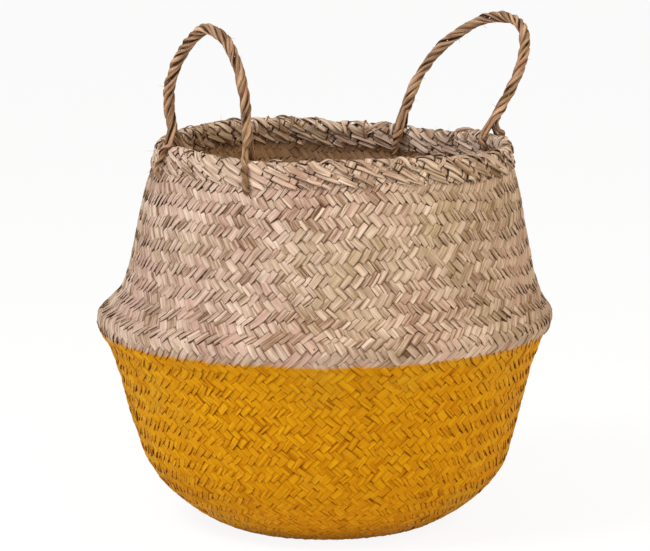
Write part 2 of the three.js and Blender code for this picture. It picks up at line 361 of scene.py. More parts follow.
def linear(code):
    """An sRGB hex colour as linear red, green, blue and alpha."""
    parts = [int(code[i : i + 2], 16) / 255 for i in (1, 3, 5)]
    return tuple(c / 12.92 if c <= 0.04045 else ((c + 0.055) / 1.055) ** 2.4 for c in parts) + (1.0,)


def add(tree, kind, inputs, **settings):
    """Adds a node with its settings, and sets or links its inputs."""
    made = tree.nodes.new(kind)
    for name, value in settings.items():
        setattr(made, name, value)
    for key, value in inputs.items():
        if isinstance(value, bpy.types.NodeSocket):
            tree.links.new(value, made.inputs[key])
        else:
            made.inputs[key].default_value = value
    return made


def calc(tree, operation, *values, **settings):
    """The result of a sum on numbers and sockets."""
    return add(tree, "ShaderNodeMath", dict(enumerate(values)), operation=operation, **settings).outputs[0]


def remap(tree, value, low, high, to_low=0.0, to_high=1.0, **settings):
    """A value carried from one range to another, and held at both ends."""
    ranges = {"From Min": low, "From Max": high, "To Min": to_low, "To Max": to_high}
    return add(tree, "ShaderNodeMapRange", {"Value": value, **ranges}, **settings).outputs["Result"]


def between(tree, share, first, second):
    """A number part of the way from one to another."""
    return add(tree, "ShaderNodeMix", {0: share, 2: first, 3: second}).outputs[0]


def tint(tree, share, first, second):
    """A colour part of the way from one to another, each a hex code or a socket."""
    first, second = (linear(c) if isinstance(c, str) else c for c in (first, second))
    return add(tree, "ShaderNodeMix", {0: share, 6: first, 7: second}, data_type="RGBA").outputs[2]


def noise(tree, place, scale, **inputs):
    """Cloudy noise over a place."""
    return add(tree, "ShaderNodeTexNoise", {"Vector": place, "Scale": scale, **inputs}).outputs["Fac"]


def strip_noise(tree, strip, across, length, seeds, **inputs):
    """Noise drawn out along a strip, different on each strip."""
    stretch = {0: strip, 1: (across, 1 / length, seeds)}
    place = add(tree, "ShaderNodeVectorMath", stretch, operation="MULTIPLY").outputs[0]
    return noise(tree, place, 1.0, **inputs)


def blank(name):
    """A new material with an empty node tree."""
    material = bpy.data.materials.new(name)
    material.use_nodes = True
    material.node_tree.nodes.clear()
    return material


def dry_grass(name, look, paint=None):
    """Dried seagrass blades laid side by side: long pale streaks, brown edges and uneven tones.

    The brown edges are partly painted shade: darker on the shaded side of a strip and where it goes under
    another. With paint, the outer face is brushed with matt mustard paint up to a soft, uneven line.
    """
    material = blank(name)
    tree = material.node_tree
    strip = add(tree, "ShaderNodeAttribute", {}, attribute_name="strip").outputs["Vector"]
    parts = add(tree, "ShaderNodeSeparateXYZ", {"Vector": strip}).outputs
    share, seed = parts["X"], parts["Z"]
    shade, dip, outside = (
        add(tree, "ShaderNodeAttribute", {}, attribute_name=label).outputs["Fac"]
        for label in ("shade", "dip", "outside")
    )
    place = add(tree, "ShaderNodeTexCoord", {}).outputs["Object"]
    streak = strip_noise(
        tree, strip, look["streaks"], look["streak_length"], STREAK_SEEDS, Detail=3.0, Roughness=0.62
    )
    patch = strip_noise(tree, strip, PATCH_ACROSS, look["patch_length"], PATCH_SEEDS, Detail=2.0)
    cloud = noise(tree, place, 1 / look["cloud_length"], Detail=2.0)

    # Tone of a blade: its own shade, patches along it and fine streaks
    tone = calc(tree, "MULTIPLY_ADD", patch, look["patch_share"], -0.5 * look["patch_share"])
    tone = calc(tree, "MULTIPLY_ADD", remap(tree, streak, *GRAIN), look["streak_share"], tone)
    tone = calc(tree, "ADD", tone, 0.5 - 0.5 * look["streak_share"])
    bare = calc(tree, "MULTIPLY_ADD", shade, look["shade_share"], tone)
    bare = calc(tree, "MULTIPLY_ADD", cloud, look["cloud_share"], bare)
    middle = 0.5 * (look["shade_share"] + look["cloud_share"])
    bare = calc(tree, "SUBTRACT", bare, middle, use_clamp=True)
    bare = tint(tree, bare, look["dark"], look["light"])

    # Some blades and some parts of the plait dried greener, and some pinker
    region = noise(tree, place, 1 / look["hue_length"], Detail=1.0)
    hue = calc(tree, "MULTIPLY_ADD", seed, HUE_BY_BLADE, -0.5 * (HUE_BY_BLADE + HUE_BY_REGION - 1))
    hue = calc(tree, "MULTIPLY_ADD", region, HUE_BY_REGION, hue)
    bare = tint(tree, remap(tree, hue, *GREENER), bare, look["green"])
    bare = tint(tree, remap(tree, hue, *PINKER), bare, look["pink"])

    # Brown edges, partly the blade's own colour and partly painted shade: broken along a blade, and weaker on
    # its lit side, so that the shaded side shows a darker line
    edge = remap(tree, calc(tree, "ABSOLUTE", share), look["edge_start"], look["edge_full"])
    edge = calc(tree, "MULTIPLY", edge, remap(tree, patch, *BROKEN))
    edge = calc(tree, "MULTIPLY", edge, remap(tree, share, -0.5, 0.5, 1.0, look["lit_side_edge"]))
    # The level of a strip on the side that is seen: 0 high up, 1 under another strip
    flank = remap(tree, outside, *FLANK)
    dip = between(tree, flank, calc(tree, "SUBTRACT", 1.0, dip), dip)
    # Painted shade: the edges grow darker toward the ends of a float, where the strip goes down
    edge = calc(tree, "MULTIPLY", edge, remap(tree, dip, 0.0, FLOAT_END, look["edge_floor"]))
    # Dark lines where a blade has begun to split
    edge = calc(tree, "MAXIMUM", edge, remap(tree, streak, *SPLIT, to_high=look["split_share"]))
    # Painted shadow where a strip goes under another
    under = remap(tree, dip, FLOAT_END, 0.5, to_high=look["under_shadow_share"])
    under = calc(tree, "MULTIPLY", under, remap(tree, dip, *COVERED))
    edge = calc(tree, "MAXIMUM", edge, under)
    colour = tint(tree, edge, bare, look["edge"])
    rough = remap(tree, streak, *GRASS_ROUGH)

    if paint:
        # The side of the strips that faces into the basket stayed brown, and where it lies behind another
        # strip it gets a near-black painted shade
        inner = remap(tree, flank, 0.0, 1.0, look["inside_share"], 0.0)
        colour = tint(tree, inner, colour, look["inside"])
        shade_behind = calc(tree, "MULTIPLY", remap(tree, dip, FLOAT_END, *SHADE_BEHIND), inner)
        colour = tint(tree, shade_behind, colour, look["shade_behind"])
        # The paint's upper line drifts, and the paint wicks along the streaks
        height = add(tree, "ShaderNodeSeparateXYZ", {"Vector": place}).outputs["Z"]
        drift = noise(tree, place, 1 / paint["drift_length"], Detail=1.0)
        level = calc(tree, "MULTIPLY_ADD", drift, paint["drift"], height)
        level = calc(tree, "MULTIPLY_ADD", streak, paint["wick"], level)
        line = PAINT_HEIGHT + 0.5 * (paint["drift"] + paint["wick"])
        ends = (line + paint["feather"], line - paint["feather"])
        cover = remap(tree, level, *ends, interpolation_type="SMOOTHSTEP")
        cover = calc(tree, "MULTIPLY", cover, flank)
        coat = calc(tree, "MULTIPLY_ADD", shade, paint["shade_share"], tone)
        coat = calc(tree, "SUBTRACT", coat, 0.5 * paint["shade_share"], use_clamp=True)
        coat = tint(tree, coat, paint["dark"], paint["light"])
        # Thin places where the straw shows through a little, in clouds across many strips
        coat = tint(tree, remap(tree, cloud, *THIN), coat, paint["thin"])
        # The dark edge lines on the paint carry the same painted shade
        coat = tint(tree, edge, coat, paint["edge"])
        colour = tint(tree, cover, colour, coat)
        rough = between(tree, cover, rough, remap(tree, streak, *PAINT_ROUGH))

    bump = {"Strength": look["bump"]}
    swell = add(tree, "ShaderNodeBump", {"Height": patch, "Distance": SWELL, **bump}).outputs["Normal"]
    groove = {"Height": streak, "Distance": GROOVE, "Normal": swell, **bump}
    surface = {
        "Base Color": colour,
        "Roughness": rough,
        "Normal": add(tree, "ShaderNodeBump", groove).outputs["Normal"],
        "Specular IOR Level": look["gloss"],
    }
    shader = add(tree, "ShaderNodeBsdfPrincipled", surface).outputs["BSDF"]
    add(tree, "ShaderNodeOutputMaterial", {"Surface": shader})
    return material


# What the looks share: where a mark sets in and where it is full, then what these give if not 0 and 1
GRAIN = (0.34, 0.66)
GREENER = (0.54, 0.95, 0.0, 0.5)
PINKER = (0.48, 0.10, 0.0, 0.6)
BROKEN = (0.38, 0.60, 0.05)
FLANK = (0.0, 0.06)
SPLIT = (0.40, 0.29)
COVERED = (1.0, 0.7)
SHADE_BEHIND = (0.6, 0.0, 1.4)
THIN = (0.55, 0.75, 0.0, 0.25)
GRASS_ROUGH = (0.25, 0.75, 0.80, 0.58)
PAINT_ROUGH = (0.25, 0.75, 0.70, 0.52)
HUE_BY_BLADE = 0.45
HUE_BY_REGION = 1.2
STREAK_SEEDS = 91.0
PATCH_SEEDS = 47.0
PATCH_ACROSS = 0.5
SWELL = 0.0010  # depth of the patches, and of the streaks
GROOVE = 0.0008

# Split seagrass strip, dried and plaited flat: pale pinkish straw with brown edges, and painted shade along
# the edges and where it lies under another strip
PLAIT_LOOK = {
    "dark": "#8d6b53",
    "light": "#e9d1be",
    "green": "#b5a078",
    "pink": "#caa294",
    "inside": "#c2965c",
    "inside_share": 0.5,
    "shade_behind": "#1e0d03",
    "edge": "#54331c",
    "edge_start": 0.85,
    "edge_full": 1.0,
    "under_shadow_share": 0.62,
    "lit_side_edge": 0.9,
    "edge_floor": 0.8,
    "streaks": 1.3,
    "streak_length": 0.040,
    "patch_length": 0.014,
    "shade_share": 0.4,
    "patch_share": 0.6,
    "streak_share": 0.9,
    "cloud_length": 0.045,
    "hue_length": 0.065,
    "cloud_share": 0.9,
    "split_share": 0.75,
    "bump": 0.8,
    "gloss": 0.06,
}
# Matt water paint, brushed on the outside only: mustard, with dark red-brown lines along the edges of the
# strips that are partly painted shade
PAINT_LOOK = {
    "dark": "#c27902",
    "light": "#e4a50d",
    "thin": "#c4a032",
    "edge": "#521600",
    "drift_length": 0.030,
    "drift": 0.005,
    "wick": 0.003,
    "feather": 0.0018,
    "shade_share": 0.3,
}
# Folded strips of the border, wider: stronger light and dark tones, and dark painted shadow in the slits at
# their edges and where one goes under another
BORDER_LOOK = {
    **PLAIT_LOOK,
    "dark": "#937156",
    "light": "#f2dac6",
    "green": "#b39a6c",
    "pink": "#c9a592",
    "edge": "#2a1507",
    "edge_start": 0.68,
    "edge_full": 0.95,
    "under_shadow_share": 1.0,
    "lit_side_edge": 0.7,
    "edge_floor": 0.9,
    "patch_length": 0.020,
    "shade_share": 0.7,
    "streak_share": 0.95,
    "cloud_share": 0.6,
    "bump": 0.9,
    "gloss": 0.1,
}
# Twisted blades of the rope: brown straw with painted shade in the seams between the blades
ROPE_LOOK = {
    **BORDER_LOOK,
    "dark": "#5e3c25",
    "light": "#deb695",
    "green": "#957546",
    "pink": "#ad6a4c",
    "edge": "#3a2212",
    "edge_start": 0.58,
    "edge_full": 0.92,
    "under_shadow_share": 0.0,
    "lit_side_edge": 1.0,
    "edge_floor": 1.0,
    "streaks": 1.0,
    "streak_length": 0.018,
    "patch_length": 0.022,
    "patch_share": 0.7,
    "streak_share": 0.6,
    "cloud_length": 0.03,
    "hue_length": 0.011,
    "cloud_share": 0.5,
    "split_share": 0.8,
    "gloss": 0.15,
}


# Strips and the mesh they make


def unit(vectors):
    """Vectors along the last axis, made one long."""
    return vectors / np.linalg.norm(vectors, axis=-1, keepdims=True)


def run_along(points):
    """Distance along a path at each of its points."""
    return np.concatenate(((0.0,), np.cumsum(np.linalg.norm(np.diff(points, axis=0), axis=1))))


def ease(value, low, high):
    """A smooth step from 0 at low to 1 at high."""
    t = np.clip((value - low) / (high - low), 0, 1)
    return t * t * (3 - 2 * t)


def ripple(run, starts, *waves):
    """Waves along a strip, added up: each has a length and a size, and its own start."""
    return sum(size * np.sin(run / length + start) for (length, size), start in zip(waves, starts))


def hump(value, place, reach):
    """A smooth hump, 1 at its place."""
    return np.exp(-(((value - place) / reach) ** 2))


def rolled(first, second, turn):
    """Two ways at right angles, turned from the first toward the second."""
    return first * np.cos(turn) + second * np.sin(turn), second * np.cos(turn) - first * np.sin(turn)


def outward(outline):
    """The way out from an outline at each of its points."""
    along = unit(np.gradient(outline, axis=0))
    return np.stack((along[:, 1], -along[:, 0]), axis=1)


def resample(rows, run, places):
    """Rows of values, given at runs along a path, at other places along it."""
    return np.stack([np.interp(places, run, column) for column in rows.T], axis=1)


def stray(points):
    """Moves points of a true round basket to where the hand-made one has them."""
    x, y, z = points[:, 0], points[:, 1], points[:, 2]
    turn = np.degrees(np.arctan2(y, x))
    part = ease(z, *RIM_BUMP_FOOT) * (1 - ease(z, *RIM_BUMP_HEAD))
    lift = np.zeros(len(points))
    for place, width, height in RIM_BUMPS:
        gap = (turn - place + 180) % 360 - 180
        lift += height * hump(gap, 0.0, width)
    sway = np.interp(z, *np.transpose(SWAY))
    moved = points + sway[:, None] * VIEW_RIGHT
    moved[:, 2] += lift * part
    return moved


def strip_line(centre, out, roll):
    """A strip's middle with the ways across it and out of it, rolled about its length."""
    tangent = unit(np.gradient(centre, axis=0))
    across = unit(np.cross(out, tangent))
    out = np.cross(tangent, across)
    turn = np.broadcast_to(roll, len(centre))[:, None]
    return centre, *rolled(across, out, turn)


class Plait:
    """Collects strips into one mesh, with the strip coordinates that the materials read."""

    def __init__(self):
        self.points = []
        self.faces = []
        self.strip = []
        self.outside = []
        self.shade = []
        self.dip = []
        self.count = 0

    def lay(
        self, line, half, depth, seed, shade, dip=0.0, section=STRIP_SECTION, outside=STRIP_OUTSIDE, start=0.0
    ):
        """Lays one strip, closed at both ends. Its line holds its middle and the ways across and out."""
        centre, across, out = line
        rings, sides = len(centre), len(section)
        half = np.broadcast_to(half, rings)
        depth = np.broadcast_to(depth, rings)
        points = (
            centre[:, None]
            + across[:, None] * (half[:, None] * section[:, 0])[..., None]
            + out[:, None] * (depth[:, None] * section[:, 1])[..., None]
        )
        along = start + run_along(centre)
        coords = np.empty((rings, sides, 3))
        coords[..., 0] = section[:, 0]
        coords[..., 1] = along[:, None]
        coords[..., 2] = seed
        ring = self.count + np.arange(rings - 1)[:, None] * sides
        side = np.arange(sides)
        low, high = ring + side, ring + (side + 1) % sides
        quads = np.stack((low, high, high + sides, low + sides), axis=2)
        last = self.count + (rings - 1) * sides
        self.faces.extend(quads.reshape(-1, 4).tolist())
        self.faces.append(list(range(self.count + sides - 1, self.count - 1, -1)))
        self.faces.append(list(range(last, last + sides)))
        self.points.append(points.reshape(-1, 3))
        self.strip.append(coords.reshape(-1, 3))
        self.outside.append(np.tile(outside, rings))
        self.shade.append(np.repeat(np.broadcast_to(shade, rings), sides))
        self.dip.append(np.repeat(np.broadcast_to(dip, rings), sides))
        self.count += rings * sides
        return along[-1]

    def piece(self, name, material, slot, sharp=SHARP_ANGLE):
        """Makes the mesh object of the strips laid so far."""
        mesh = bpy.data.meshes.new(name)
        mesh.from_pydata(stray(np.concatenate(self.points)).tolist(), [], self.faces)
        strip = mesh.attributes.new("strip", "FLOAT_VECTOR", "POINT")
        strip.data.foreach_set("vector", np.concatenate(self.strip).astype(np.float32).ravel())
        for label, values in (("outside", self.outside), ("shade", self.shade), ("dip", self.dip)):
            attribute = mesh.attributes.new(label, "FLOAT", "POINT")
            attribute.data.foreach_set("value", np.concatenate(values).astype(np.float32))
        mesh.shade_smooth()
        mesh.set_sharp_from_angle(angle=sharp)
        mesh.materials.append(material)
        made = bpy.data.objects.new(name, mesh)
        bpy.context.scene.collection.objects.link(made)
        return made


def material_once(name, look, paint=None):
    """The material of that name, made the first time it is asked for."""
    return bpy.data.materials.get(name) or dry_grass(name, look, paint)


# The wall's outline


def bend(start, pull_start, pull_end, end):
    """Points of a cubic curve between two ends."""
    t = np.linspace(0, 1, CURVE_POINTS)[:, None]
    ends = (1 - t) ** 3 * np.array(start) + t**3 * np.array(end)
    return ends + 3 * (1 - t) ** 2 * t * np.array(pull_start) + 3 * (1 - t) * t**2 * np.array(pull_end)


def wall_outline():
    """Outer outline of the wall, as radius and height, from under the base to the top edge."""
    crease_low = (BELLY_RADIUS, CREASE_HEIGHT - CREASE_FACE / 2)
    crease_high = (BELLY_RADIUS, CREASE_HEIGHT + CREASE_FACE / 2)
    top = RIM_MIDDLE + RIM_OUT * WALL / 2
    neck = top - RIM_UP * NECK_LENGTH
    heel = bend(
        (BASE_RADIUS, FOOT_CLEAR),
        (BASE_RADIUS + HEEL_RUN, FOOT_CLEAR),
        (HIP_RADIUS - HIP_PULL_DOWN * HIP_FLARE, HIP_HEIGHT - HIP_PULL_DOWN),
        (HIP_RADIUS, HIP_HEIGHT),
    )
    side = bend(
        (HIP_RADIUS, HIP_HEIGHT),
        (HIP_RADIUS + HIP_PULL_UP * HIP_FLARE, HIP_HEIGHT + HIP_PULL_UP),
        (crease_low[0] - CREASE_LOWER_PULL[0], crease_low[1] - CREASE_LOWER_PULL[1]),
        crease_low,
    )
    shoulder = bend(
        crease_high,
        (crease_high[0] - CREASE_UPPER_PULL[0], crease_high[1] + CREASE_UPPER_PULL[1]),
        (neck[0] + SHOULDER_PULL[0], neck[1] - SHOULDER_PULL[1]),
        neck,
    )
    run = np.linspace((BASE_RADIUS - TUCK, FOOT_CLEAR), (BASE_RADIUS, FOOT_CLEAR), TUCK_POINTS)
    collar = np.linspace(neck, top, COLLAR_POINTS)
    return softened(np.vstack((run, heel[1:], side[1:], shoulder, collar[1:])))


def softened(outline):
    """The outline with its bends rounded as folded straw has them, as wide at the fold as before."""
    run = run_along(outline)
    even = np.arange(0, run[-1], OUTLINE_STEP)
    soft = resample(outline, run, even)
    reach = int(3 * FOLD_ROUND / OUTLINE_STEP)
    kernel = np.exp(-0.5 * (np.arange(-reach, reach + 1) * OUTLINE_STEP / FOLD_ROUND) ** 2)
    padded = np.pad(soft, ((reach, reach), (0, 0)), mode="reflect", reflect_type="odd")
    kernel = kernel / kernel.sum()
    soft = np.stack([np.convolve(column, kernel, mode="valid") for column in padded.T], axis=1)
    lost = BELLY_RADIUS - soft[:, 0].max()
    soft[:, 0] += lost * hump(soft[:, 1], CREASE_HEIGHT, FOLD_WIDE)
    return soft


class Face:
    """The middle of a plait that goes round the basket, by distance along its outline."""

    def __init__(self, distance, middle, out):
        self.distance = distance
        self.length = distance[-1]
        self.parts = (*middle.T, *out.T)

    def place(self, turn, distance):
        """Points at turns round the basket and distances along the outline, and the outward way at each."""
        radius, height, out_side, out_up = [np.interp(distance, self.distance, part) for part in self.parts]
        ring = np.stack((np.cos(turn), np.sin(turn), np.zeros_like(turn)), axis=1)
        out = ring * out_side[:, None]
        out[:, 2] = out_up
        centre = ring * radius[:, None]
        centre[:, 2] = height
        return centre, out

    def radius(self, distance):
        """The radius at a distance along the outline."""
        return np.interp(distance, self.distance, self.parts[0])

    def height(self, distance):
        """The height at a distance along the outline."""
        return np.interp(distance, self.distance, self.parts[1])


def wall_face():
    """The middle of the plaited wall, from under the base to the top edge."""
    outer = wall_outline()
    out = outward(outer)
    middle = outer - out * PLAIT_INSET
    return Face(run_along(middle), middle, out)


def crossing_levels(last):
    """Crossings at which a strip's height is set: both sides of each step from one crossing to the next."""
    steps = np.arange(0.5, last, 1.0)
    levels = np.sort(np.concatenate(((0.0, last), steps - DIVE, steps + DIVE)))
    return levels[(levels >= 0) & (levels <= last)]


def row_places(face, low_row, row):
    """Distances up the wall, and the number of crossings up to each: rows lie closer below the fold."""
    marks = np.linspace(0.0, face.length, ROW_MARKS)
    above = ease(face.height(marks), CREASE_HEIGHT - ROW_CHANGE, CREASE_HEIGHT)
    step = low_row + (row - low_row) * above
    return marks, np.append(0.0, np.cumsum(np.diff(marks) / step[1:]))


def right_over(turn, row):
    """1 where the right-leaning strip lies over at a crossing, -1 where it lies under: two crossings each."""
    slip = sum(size * np.sin(lobes * turn + row / wave + phase) for lobes, wave, phase, size in SLIPS)
    slip = slip * ease(row, *SLIP_ROWS) * ease(-np.sin(turn), *SLIP_FRONT)
    return np.where(np.mod(row + np.round(slip), 4) < 2, 1, -1)


def uneven(distance, turn, length):
    """Shifts of a hand-held plait, the same for both leans: rows and strips that wander a little."""
    steady = ease(distance, 0.0, WANDER_FROM) * (1 - ease(distance, length - STEADY_ENDS, length))
    wander = np.zeros_like(distance)
    drift = np.zeros_like(distance)
    for lobes, wave, phase, size in WANDER:
        wander += size * np.sin(lobes * turn + distance / wave + phase)
        drift += size * np.sin((lobes + 1) * turn - distance / wave + WANDER_TURN * phase)
    return distance + steady * wander, turn + steady * drift / BELLY_RADIUS


class Spacing:
    """Uneven widths of the strips of one lean round the basket."""

    def __init__(self, count, seed):
        shifts = np.random.default_rng(seed).standard_normal(count)
        shifts = np.clip(shifts, -UNEVEN_MOST, UNEVEN_MOST) * STRIP_UNEVEN
        self.count = count
        self.edges = np.arange(count + 1) - 0.5
        self.shifts = np.append(shifts, shifts[0])

    def at(self, number):
        """Where a strip number falls among uneven strips."""
        return number + np.interp(np.mod(number + 0.5, self.count) - 0.5, self.edges, self.shifts)

    def strip(self, number):
        """The middle and the width of a strip, in strip numbers."""
        low, high = self.at(number - 0.5), self.at(number + 0.5)
        return 0.5 * (low + high), high - low


# The add-on's settings


def setting(title, text, start, **kind):
    """A setting that is a number."""
    return bpy.props.FloatProperty(name=title, description=text, default=start, **kind)


class PlaitSettings(bpy.types.PropertyGroup):
    """Sizes of the wall's plait."""

    strip_count: bpy.props.IntProperty(
        name="Strips", description="Strips of each lean round the basket", default=144, min=40, max=240
    )
    row: setting("Row", "Height between crossings", 0.0042, unit="LENGTH")
    low_row: setting("Low row", "Height between crossings below the fold", 0.0036, unit="LENGTH")
    cover: setting("Cover", "Strip width as a share of its room", 1.13, subtype="FACTOR")
    thickness: setting("Thickness", "Thickness of a strip", 0.0008, unit="LENGTH")
    lift: setting("Lift", "How far a strip rises over and dips under", 0.00065, unit="LENGTH")
    waist: setting("Waist", "How much a strip narrows where it dives", 0.02, subtype="FACTOR")
    mat_strip: setting("Base strip", "Width of the base mat's strips", 0.0056, unit="LENGTH")


class RimSettings(bpy.types.PropertyGroup):
    """Sizes of the rim's border plait."""

    long_count: bpy.props.IntProperty(
        name="Long strips", description="Long slanting strips round the rim", default=88, min=16, max=200
    )
    short_count: bpy.props.IntProperty(
        name="Short strips", description="Steep crossing strips round the rim", default=112, min=16, max=300
    )
    long_slope: setting("Long slope", "Slope of the long strips", math.radians(25), subtype="ANGLE")
    short_slope: setting("Short slope", "Slope of the crossing strips", math.radians(62), subtype="ANGLE")
    lift: setting("Lift", "How far a strip rises over and dips under", 0.0008, unit="LENGTH")
    thickness: setting("Thickness", "Thickness of a strip", 0.0008, unit="LENGTH")
    cover: setting("Cover", "Long strip width as a share of its room", 1.3, subtype="FACTOR")
    short_cover: setting("Short cover", "Short strip width as a share of its room", 0.85, subtype="FACTOR")
    tilt: setting("Tilt", "How far the long strips lie like shingles", 0.52, subtype="ANGLE")
    curl: setting("Curl", "How far strips stand up over the top edge", 0.0009, unit="LENGTH")


class RopeSettings(bpy.types.PropertyGroup):
    """Sizes of the rope handles."""

    lay: setting("Lay", "Length of one turn of the two cords", 0.046, unit="LENGTH")
    blade_width: setting("Blade width", "Half the width of a blade", 0.00185, unit="LENGTH")
    blade_depth: setting("Blade depth", "Half the thickness of a blade", 0.00165, unit="LENGTH")


FLOOR_COLOUR = linear("#f6f6f4")


class StageSettings(bpy.types.PropertyGroup):
    """Floor and light."""

    floor_colour: bpy.props.FloatVectorProperty(
        name="Floor", description="Colour of the floor", default=FLOOR_COLOUR[:3], size=3, subtype="COLOR"
    )
    key_power: setting("Key light", "Power of the main lamp", 23.0, unit="POWER")
    fill: setting("Fill", "Strength of the light from all round", 0.5, subtype="FACTOR")


# Operators


class BASKET_OT_plait_base(bpy.types.Operator):
    """Plait the round mat of the base"""

    bl_idname = "basket.plait_base"
    bl_label = "Plait base"

    def execute(self, context):
        sizes = context.scene.basket_plait
        material = material_once("Seagrass plait painted outside", PLAIT_LOOK, PAINT_LOOK)
        pick = np.random.default_rng(BASE_SEED)
        pitch = sizes.mat_strip
        radius = BASE_RADIUS + MAT_MARGIN
        reach = int(radius / pitch)
        for name, turned in (("base_mat_cross_strips", False), ("base_mat_long_strips", True)):
            mat = Plait()
            for i in range(-reach, reach + 1):
                offset = i * pitch
                half_length = math.sqrt(max(radius**2 - offset**2, 0))
                if half_length < 2 * pitch:
                    continue
                run = np.arange(-half_length, half_length, pitch / MAT_RINGS)
                phase = np.mod(run / pitch + i + 0.5, 4)
                over = np.where(phase < 2, 1.0, -1.0) * (-1 if turned else 1)
                over = np.convolve(over, MAT_TWILL, mode="same")
                height = WALL / 2 + BASE_LIFT - sizes.lift * over
                centre = np.stack((run, np.full_like(run, offset), height), axis=1)
                if turned:
                    centre = centre[:, (1, 0, 2)]
                out = np.tile((0.0, 0.0, -1.0), (len(run), 1))
                line = strip_line(centre, out, 0.0)
                half = 0.5 * pitch * sizes.cover * (1 + MAT_UNEVEN * pick.standard_normal())
                shade = pick.random(len(run) // MAT_SHADE_RINGS + 1)
                shade = np.repeat(shade, MAT_SHADE_RINGS)[: len(run)]
                # The strips' levels, by which the material paints shadow where a strip goes under
                mat.lay(line, half, sizes.thickness, pick.random(), shade, 0.5 - 0.5 * over)
            made = mat.piece(name, material, "painted_seagrass")
            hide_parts("base_weave")
            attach(made, "basket")
        return {"FINISHED"}


class BASKET_OT_plait_walls(bpy.types.Operator):
    """Plait the lower and upper walls from strips of both leans"""

    bl_idname = "basket.plait_walls"
    bl_label = "Plait walls"

    def execute(self, context):
        sizes = context.scene.basket_plait
        material = material_once("Seagrass plait painted outside", PLAIT_LOOK, PAINT_LOOK)
        face = wall_face()
        count = sizes.strip_count
        marks, rows_up = row_places(face, sizes.low_row, sizes.row)
        levels = crossing_levels(rows_up[-1])
        up = np.interp(levels, rows_up, marks)
        row = np.gradient(up, levels)
        crossings = np.arange(int(levels[-1]) + 3)
        near = np.round(levels).astype(int)
        beyond = near + np.where(levels > near, 1, -1).clip(-near, None)
        missed = np.random.default_rng(MISSED_SEED).random((count, len(crossings))) < MISSED
        height = face.height(up)
        seam = int(np.argmin(np.abs(height - PAINT_HEIGHT)))
        low, high = slice(0, seam + 1), slice(seam, None)
        spacings = {way: Spacing(count, seed) for way, seed in SPACING_SEEDS.items()}
        steady = ease(up, 0.0, STEADY_ENDS) * (1 - ease(up, face.length - STEADY_ENDS, face.length))
        slack = ease(up - face.length, *SLACK_FROM)
        slack = slack + FOLD_SLACK * hump(height, CREASE_HEIGHT, FOLD_REACH)
        for lean, way in (("right", 1), ("left", -1)):
            lower, upper = Plait(), Plait()
            pick = np.random.default_rng(WALL_SEED + way)
            for i in range(count):
                waves = pick.uniform(0, 2 * math.pi, 4)
                over = right_over(2 * math.pi * (i + 0.5 * way * crossings) / count, crossings)
                over = over * np.where(missed[(i if way > 0 else i - crossings) % count, crossings], -1, 1)
                floats = np.cumsum(np.append(0, np.abs(np.diff(over)) // 2))
                dives = over[near] != over[beyond]
                floats, over = floats[near], over[near]
                narrow = 1 - (sizes.waist + SLACK_WAIST * slack) * dives
                own, share = spacings[way].strip(i)
                other = spacings[-way].at(i + way * levels) + ripple(levels, waves, *STRIP_DRIFT)
                turn = math.pi * (own + other) / count
                rows = levels + steady * (way * (other - own) - levels)
                distance, turn = uneven(np.interp(rows, rows_up, marks), turn, face.length)
                room = 2 * math.pi * face.radius(distance) / count
                half = 0.5 * sizes.cover * share * room * np.sin(np.arctan2(row, room / 2))
                centre, out = face.place(turn, distance)
                rise = LIFT_UNEVEN * pick.standard_normal(floats[-1] + 1)[floats]
                rise = 1 + SLACK_LIFT * slack + FLOAT_LIFT * ~dives + rise
                centre = centre + out * (way * over * sizes.lift * rise)[:, None]
                roll = ROLL_UNEVEN * pick.standard_normal(floats[-1] + 1)[floats]
                roll = roll + ripple(levels, waves[3:], STRIP_ROLL) - way * SHINGLE * ease(up, *SHINGLE_FROM)
                line = strip_line(centre, out, roll)
                width = half * narrow * (1 + ripple(levels, waves[2:], STRIP_WIDTH))
                shade = 0.5 * pick.random() + 0.5 * pick.random(floats[-1] + 1)[floats]
                seed = pick.random()
                # The levels at a float's ends set the painted shadow line where the strip goes under the
                # crossing strip
                left_end = way * (levels - near) < 0
                ends = np.where(left_end, LEFT_END, RIGHT_END)
                ends = ends + END_UNEVEN * pick.standard_normal(len(levels))
                dip = np.where(way * over < 0, 1 - FLOAT_END * dives, ends * dives)
                run = 0.0
                for wall, part in ((lower, low), (upper, high)):
                    piece = tuple(values[part] for values in line)
                    looks = (seed, shade[part], dip[part])
                    run = wall.lay(piece, width[part], sizes.thickness, *looks, start=run)
            walls = (("lower_wall", lower, "painted_seagrass"), ("upper_wall", upper, "natural_seagrass"))
            for node, wall, slot in walls:
                made = wall.piece(f"{node}_{lean}_strips", material, slot, FLAT_ANGLE)
                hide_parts(node)
                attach(made, "basket")
        return {"FINISHED"}


def rim_face():
    """The rim's saddle from its outer hem over the top to its inner hem."""
    foot = WALL / 2 + RIM_FOOT - RIM_HEM
    hem_points, top_points = RIM_ARC_POINTS
    arcs = (
        (foot, -RIM_SKIRT, RIM_HEM, -math.pi, hem_points),
        (0.0, 0.0, RIM_HALF - RIM_INSET, 0.0, top_points),
        (-foot, -RIM_SKIRT, RIM_HEM, math.pi, hem_points),
    )
    parts = []
    for across, up, radius, start, count in arcs:
        turns = np.linspace(start, start + math.pi, count)
        parts.append(np.stack((across + radius * np.cos(turns), up + radius * np.sin(turns)), axis=1))
    rough = np.vstack(parts)
    rough_run = run_along(rough)
    run = np.linspace(0, rough_run[-1], RIM_POINTS)
    place = resample(rough, rough_run, run)
    out = outward(place)
    middle = RIM_MIDDLE + place[:, :1] * RIM_OUT + place[:, 1:] * RIM_UP
    return Face(run, middle, out[:, :1] * RIM_OUT + out[:, 1:] * RIM_UP)


